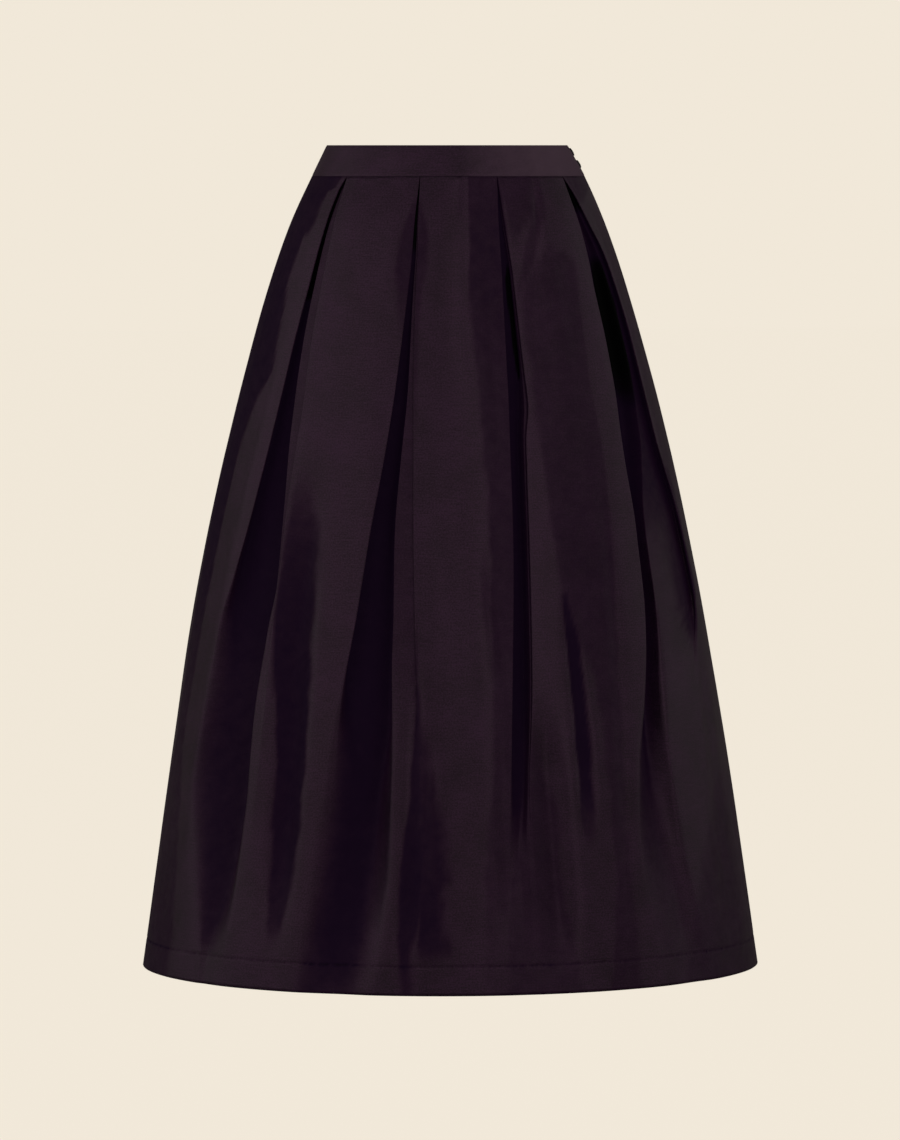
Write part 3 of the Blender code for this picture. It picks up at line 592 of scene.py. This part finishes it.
def skirt_points(side, pleats, creases, painted_shades, painted_gap_shadows, seed):
    """Every point of one length, row by row, with how far along the cloth it lies and how much is painted on
    it.

    That runs from 0 to 1 in painted shade where the sheen turns away, and on to 2 in the painted black gaps.
    """
    about = 1 if side == "front" else -1
    dents = seam_dents(seed)
    points = []
    for down in rows_down():
        form, stops = section(pleats, down, ALLOWANCE if side == "back" else ())
        row, run, before = [], 0.0, None
        stitched = exp(-((down - HEM_LINE) / STITCH_WIDE) ** 2)
        for angle, inset, painted_pleat_shade in stops:
            open_cloth = exp(-(inset / CREASED_DEPTH) ** 2)
            edge = (90 - abs(angle)) * arc(form, angle)
            pressed = crease_depth(creases, form, angle, down) * open_cloth
            pressed += dent_depth(dents, form, angle, down) * open_cloth
            pressed += EDGE_ROLL * exp(-(edge / EDGE_ROLL_WIDE) ** 2)
            ripple = noise.noise(Vector((angle * 0.11, down * 0.006, seed)))
            ripple += noise.noise(Vector((angle * 0.35, down * 0.02, seed + 3))) * 0.22
            ripple *= ease(down, 5, 90) * (1 - 0.6 * ease(down, 720, 770)) * ease(edge, 0, 25)
            plan = place(form, angle, inset + pressed + ripple * open_cloth + STITCH_DEPTH * stitched)
            point = Vector((plan.x * about + form.lean, plan.y * about, -BAND_HEIGHT - down)) * MM
            run += (plan - before).length if before else 0.0
            before = plan
            # Painted shade from the pleat's well and shelf and from the tables.
            dull = max(painted_pleat_shade, painted_shade_at(painted_shades, angle, down, seed))
            # Painted black shadow in the gaps, only deep inside a pleat's well.
            painted_black = painted_shade_at(painted_gap_shadows, angle, down, seed) if painted_pleat_shade > 0.7 else 0
            if painted_black > 0.1:
                dull = 1 + painted_black
            # Darker in dashes along the hem's stitch line.
            dull += stitched * (0.3 + 0.8 * noise.noise(Vector((angle * 2.3, 0, seed))))
            row.append((point, (run * MM, -down * MM), dull))
        middle = row[len(row) // 2][1][0]
        points.append([(point, (u - middle, v), dull) for point, (u, v), dull in row])
    return points


class Socket:
    """A shader value that takes part in sums: each operator adds its Math node."""

    def __init__(self, graph, source):
        self.graph, self.source = graph, source

    def maths(self, operation, a, b):
        return self.graph.add("Math", {"operation": operation}, {0: a, 1: b})

    def __add__(self, other):
        return self.maths("ADD", self, other)

    def __radd__(self, other):
        return self.maths("ADD", other, self)

    def __sub__(self, other):
        return self.maths("SUBTRACT", self, other)

    def __rsub__(self, other):
        return self.maths("SUBTRACT", other, self)

    def __mul__(self, other):
        return self.maths("MULTIPLY", self, other)

    def __rmul__(self, other):
        return self.maths("MULTIPLY", other, self)


class Graph:
    """A material and its nodes."""

    def __init__(self, name):
        self.material = bpy.data.materials.new(name)
        self.material.use_nodes = True
        self.tree = self.material.node_tree
        self.shader = self.tree.nodes["Principled BSDF"]

    def add(self, kind, settings=None, inputs=None, output=0):
        """A node of that kind, its settings first and then its sockets; returns one of its outputs."""
        node = self.tree.nodes.new("ShaderNode" + kind)
        for key, value in (settings or {}).items():
            if key == "stops":
                ramp = node.color_ramp.elements
                while len(ramp) < len(value):
                    ramp.new(0.5)
                for stop, (position, colour) in zip(ramp, value):
                    stop.position = position
                    stop.color = (*colour, 1)
            else:
                setattr(node, key, value)
        for key, value in (inputs or {}).items():
            self.feed(node.inputs[key], value)
        return Socket(self, node.outputs[output])

    def feed(self, socket, value):
        """Link a Socket to a node's socket, or set a plain value on it."""
        if isinstance(value, Socket):
            self.tree.links.new(value.source, socket)
        else:
            socket.default_value = value

    def mix_over(self, factor, **inputs):
        """Mix a second Principled shader over the first by the factor."""
        second = self.tree.nodes.new("ShaderNodeBsdfPrincipled")
        for key, value in inputs.items():
            self.feed(second.inputs[key.replace("_", " ")], value)
        mix = self.tree.nodes.new("ShaderNodeMixShader")
        self.feed(mix.inputs[0], factor)
        self.tree.links.new(self.shader.outputs[0], mix.inputs[1])
        self.tree.links.new(second.outputs[0], mix.inputs[2])
        self.tree.links.new(mix.outputs[0], self.tree.nodes["Material Output"].inputs["Surface"])

    def finish(self, **inputs):
        """Values and links for the Principled shader: words in a name are joined by _."""
        for key, value in inputs.items():
            self.feed(self.shader.inputs[key.replace("_", " ")], value)
        return self.material


# A paler colour painted on the band for its sheen where it faces the light.
PAINTED_SHEEN_COLOUR = (0.1120, 0.0670, 0.0970, 1)


def weave(g, cloth, direction, scale, distortion):
    """The threads that run one way, as fine wavy bands."""
    return g.add("TexWave", {"wave_type": "BANDS", "bands_direction": direction},
                 {"Vector": cloth, "Scale": scale, "Distortion": distortion, "Detail": 1.0,
                  "Detail Scale": 40.0}, "Fac")


def grain_noise(g, along, scale, detail, roughness):
    """Cloudy unevenness of one size, from 0 to 1."""
    return g.add("TexNoise", None, {"Vector": along, "Scale": scale, "Detail": detail,
                                    "Roughness": roughness}, "Fac")


def painted_shade_and_glow(g, dull):
    """Painted shade for the cloth turned from the light: at first redder, then darker and bluer, then black.

    A very faint painted glow stands for the light that its threads scatter.
    """
    half = dull * 0.5
    painted_shade_colours = ((0.08, (0.0200, 0.0040, 0.0150)), (0.36, (0.0140, 0.0026, 0.0120)),
            (0.5, (0.0100, 0.0021, 0.0140)), (0.9, (0.0001, 0.0001, 0.0002)))
    painted_glow = ((0.4, (0.0022, 0.0006, 0.0032)), (0.7, (0, 0, 0)))
    return {"Base_Color": g.add("ValToRGB", {"stops": painted_shade_colours}, {"Fac": half}, "Color"),
            "Emission_Color": g.add("ValToRGB", {"stops": painted_glow}, {"Fac": half}, "Color"),
            "Emission_Strength": 1.0}


def taffeta(name, across=False):
    """Crisp plain-woven taffeta: a fine cross rib with slubs, a mottled grain and a soft sheen.

    Where the mesh asks for it, shade is painted on; cut across, as the band is, a sheen is painted on
    instead.
    """
    g = Graph(name)
    cloth = g.add("UVMap", {"uv_map": "cloth"})
    ribs = weave(g, cloth, "Y", 330.0, 0.6)
    warp = weave(g, cloth, "X", 420.0, 0.4)
    slub_map = g.add("Mapping", None, {"Vector": cloth, "Scale": (60, 900, 1)})
    slub = grain_noise(g, slub_map, 1.0, 2.0, 0.6)
    grain = grain_noise(g, cloth, 620.0, 2.0, 0.7)
    patch = grain_noise(g, cloth, 26.0, 3.0, 0.5)
    tone = 0.55 * grain + 0.23 * slub + 0.22 * patch
    shades = ((0.42, (0.0010, 0.0002, 0.0030)), (0.60, (0.0330, 0.0110, 0.0340)))
    colour = g.add("ValToRGB", {"stops": shades}, {"Fac": tone}, "Color")
    relief = 0.5 * ribs + 0.3 * warp + 0.5 * slub + 0.6 * grain
    bump = g.add("Bump", None, {"Strength": 0.4, "Distance": 0.0002, "Height": relief}, "Normal")
    rough = 0.34 + 0.10 * patch + 0.16 * grain
    # How much painted shade, painted sheen and stitch darkening the mesh asks for, mottled at the edges.
    painted_amount = g.add("Attribute", {"attribute_name": "dull"}, None, "Fac")
    mottle = grain_noise(g, cloth, 75.0, 5.0, 0.65)
    broken = (mottle - 0.5) * (1.08 - g.add("Clamp", None, {"Value": painted_amount})) * painted_amount
    dull = painted_amount + 2.4 * broken
    painted_look = {"Base_Color": PAINTED_SHEEN_COLOUR} if across else painted_shade_and_glow(g, dull)
    g.mix_over(g.add("Clamp", None, {"Value": dull}), Roughness=0.8, Specular_IOR_Level=0.1, Normal=bump,
               **painted_look)
    return g.finish(Base_Color=colour, Roughness=rough, Specular_IOR_Level=0.42,
                    Specular_Tint=(1.0, 0.62, 0.84, 1), Sheen_Weight=0.03,
                    Sheen_Roughness=0.35, Sheen_Tint=(0.75, 0.45, 0.68, 1), Normal=bump)


SIDES = (
    ("front", FRONT_PLEATS, FRONT_CREASES, FRONT_PAINTED_SHADE, FRONT_PAINTED_GAP_SHADOW, 11),
    ("back", BACK_PLEATS, BACK_CREASES, BACK_PAINTED_SHADE, BACK_PAINTED_GAP_SHADOW, 47))
taffeta_cloth = taffeta("taffeta")
lengths = {}
for side, pleats, creases, painted_shades, painted_gap_shadows, seed in SIDES:
    points = skirt_points(side, pleats, creases, painted_shades, painted_gap_shadows, seed)
    piece = cloth_sheet("taffeta_" + side, lambda column, row: points[row][column],
                        len(points[0]), len(points))
    piece.data.materials.append(taffeta_cloth)
    thicken(piece, CLOTH_THICK)
    lengths[side] = (piece, points)
    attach(piece, "root")
    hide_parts("skirt_" + side)


# --- Hem ----------------------------------------------------------------------------------------------
# The hem allowance: the lower edge of each length, turned up inside as far as the hem line and slip
# stitched there.

HEM_GAP = 1.1           # from the inner face of the length to the allowance


def flat_width(row):
    """How wide a row of cloth is when laid flat, in metres."""
    return row[-1][1][0] - row[0][1][0]


for side, (length_piece, points) in lengths.items():
    rows = [k for k, down in enumerate(rows_down()) if down >= HEM_LINE - 1]
    hem_rows = []
    for k in rows:
        row = points[k]
        moved = []
        for c, (point, spot, _) in enumerate(row):
            before, after = row[max(c - 1, 0)][0], row[min(c + 1, len(row) - 1)][0]
            along = (after - before).normalized()
            inward = Vector((-along.y, along.x, 0))
            moved.append((point + inward * (CLOTH_THICK + HEM_GAP) * MM, spot))
        hem_rows.append(moved)
    piece = cloth_sheet("hem_allowance_" + side, lambda column, row: hem_rows[row][column], len(hem_rows[0]),
                        len(hem_rows))
    piece.data.materials.append(taffeta_cloth)
    thicken(piece, CLOTH_THICK)
    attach(piece, "root")
    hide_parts("hem_" + side)
    for part, part_points in ((length_piece, points), (piece, hem_rows)):
        top, bottom = flat_width(part_points[0]), flat_width(part_points[-1])
        tall = part_points[0][0][1][1] - part_points[-1][0][1][1]
        (top + bottom) / 2 * tall
        "waistband_" + side


# --- Waistband ----------------------------------------------------------------------------------------
# A contoured band in two parts, folded over an interfacing. The front's end laps over the back's at the
# wearer's left.

BAND_THICK = 2.0
BAND_PROUD = 0.2        # how far the band stands out past the cloth below it
BAND_EDGE = 0.45        # how round the band's folded edges are
BAND_SOFTNESS = 0.35    # how far the folded cloth stands off or sinks in
TOP_ROLL, TOP_ROLL_WIDE = 0.35, 1.2         # how far the band turns in at its top edge, and how near to it
SEAM_ROLL, SEAM_ROLL_WIDE = 0.25, 1.0       # and the same at the waist seam
BAND_START = -90.0
BAND_END = 270.0
LAP_END = 98.0
UNDERLAP_END = 81.0
LAP_CLEAR = 0.6
LAP_SLOPE = (2, 9)      # where past the lap's end the underlap starts and stops coming out
PAINTED_SIDE_SHEEN = 0.9        # how strong the sheen painted on at the wearer's left is
FAR_SHARE = 0.15        # how much of that shows at the wearer's right
BAND_COLUMNS = 150
BAND_ROWS = 16


def lap_step(angle):
    """The back's end goes in under the front's by one thickness, over a short slope past the lap's end."""
    start, end = LAP_SLOPE
    return (BAND_THICK + LAP_CLEAR) * (1 - ease(angle, LAP_END + start, LAP_END + end))


# The band's cloth, with a sheen painted on where the mesh asks for it.
band_cloth_with_painted_sheen = taffeta("taffeta_with_painted_sheen", across=True)


def waistband(side, start, end, step_in, seed):
    """One part of the band, from one angle to the other, set in by step_in(angle)."""
    def spot(column, row):
        share = row / (BAND_ROWS - 1)
        down = -BAND_HEIGHT * (1 - share)
        angle = start + (end - start) * column / (BAND_COLUMNS - 1)
        form = at(FORM, down)
        soft = noise.noise(Vector((angle * 0.09, share * 1.2, seed))) * BAND_SOFTNESS
        roll = TOP_ROLL * exp(-(share * BAND_HEIGHT / TOP_ROLL_WIDE) ** 2)
        roll += SEAM_ROLL * exp(-((1 - share) * BAND_HEIGHT / SEAM_ROLL_WIDE) ** 2)
        plan = place(form, angle, step_in(angle) - BAND_PROUD + roll + soft * sin(pi * share))
        along = (angle - start) * arc(form, 45) * MM
        point = Vector((plan.x + form.lean, plan.y, -BAND_HEIGHT - down)) * MM
        # Painted sheen: the band is coloured paler towards the sides, most at the wearer's left.
        painted_sheen = PAINTED_SIDE_SHEEN * ease(abs(angle), 2, 55) ** 0.45 * (1 - 0.85 * ease(angle, 65, 140))
        return point, (along, -share * BAND_HEIGHT * MM), painted_sheen * (1 if angle > 0 else FAR_SHARE)

    piece = cloth_sheet("band_" + side, spot, BAND_COLUMNS, BAND_ROWS)
    piece.data.materials.append(band_cloth_with_painted_sheen)
    thicken(piece, BAND_THICK - BAND_PROUD)
    edge = piece.modifiers.new("edge", "BEVEL")
    edge.width = BAND_EDGE * MM
    edge.segments = 3
    edge.limit_method = "ANGLE"
    edge.angle_limit = radians(50)
    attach(piece, "root")
    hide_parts("waistband_" + side)


waistband("front", BAND_START, LAP_END, lambda angle: 0.0, 3)
waistband("back", UNDERLAP_END, BAND_END, lap_step, 5)


# --- Placket ------------------------------------------------------------------------------------------
# A plain strip of the same cloth behind the opening in the wearer's left side seam. It hangs from the
# waistband, so that nothing shows through when the opening gapes.

PLACKET_LENGTH = 190.0
PLACKET_WIDTH = 30.0
PLACKET_INSET = 1.9
PLACKET_CLEAR = 0.3
PLACKET_COLUMNS = 17
PLACKET_ROWS = 61


def placket_spot(column, row):
    down = PLACKET_CLEAR + (PLACKET_LENGTH - PLACKET_CLEAR) * row / (PLACKET_ROWS - 1)
    form = at(FORM, down)
    share = column / (PLACKET_COLUMNS - 1)
    angle = 90 + (share - 0.5) * PLACKET_WIDTH / arc(form, 90)
    plan = place(form, angle, PLACKET_INSET)
    point = Vector((plan.x + form.lean, plan.y, -BAND_HEIGHT - down)) * MM
    return point, (share * PLACKET_WIDTH * MM, -down * MM)


placket = cloth_sheet("placket_strip", placket_spot, PLACKET_COLUMNS, PLACKET_ROWS)
placket.data.materials.append(taffeta_cloth)
thicken(placket, CLOTH_THICK)
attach(placket, "root")
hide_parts("placket_underlap")


# --- Buttons ------------------------------------------------------------------------------------------
# Two small domed buttons of polished near-black plastic, one above the other on the lap at the wearer's
# left. They keep the shape of their solids.

def polished_plastic():
    """Near-black plastic with a faint swirl in its colour and its polish."""
    g = Graph("button_plastic")
    where = g.add("TexCoord", None, None, "Object")
    swirl = g.add("TexNoise", None, {"Vector": where, "Scale": 380.0, "Detail": 2.0}, "Fac")
    colour = g.add("ValToRGB", {"stops": ((0.3, (0.004, 0.003, 0.004)), (0.8, (0.012, 0.009, 0.012)))},
                   {"Fac": swirl}, "Color")
    return g.finish(Base_Color=colour, Roughness=0.18 + 0.12 * swirl, Coat_Weight=0.3)


button_plastic = polished_plastic()
for name in ("button_upper", "button_lower"):
    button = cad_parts[name]
    button.data.materials.clear()
    button.data.materials.append(button_plastic)
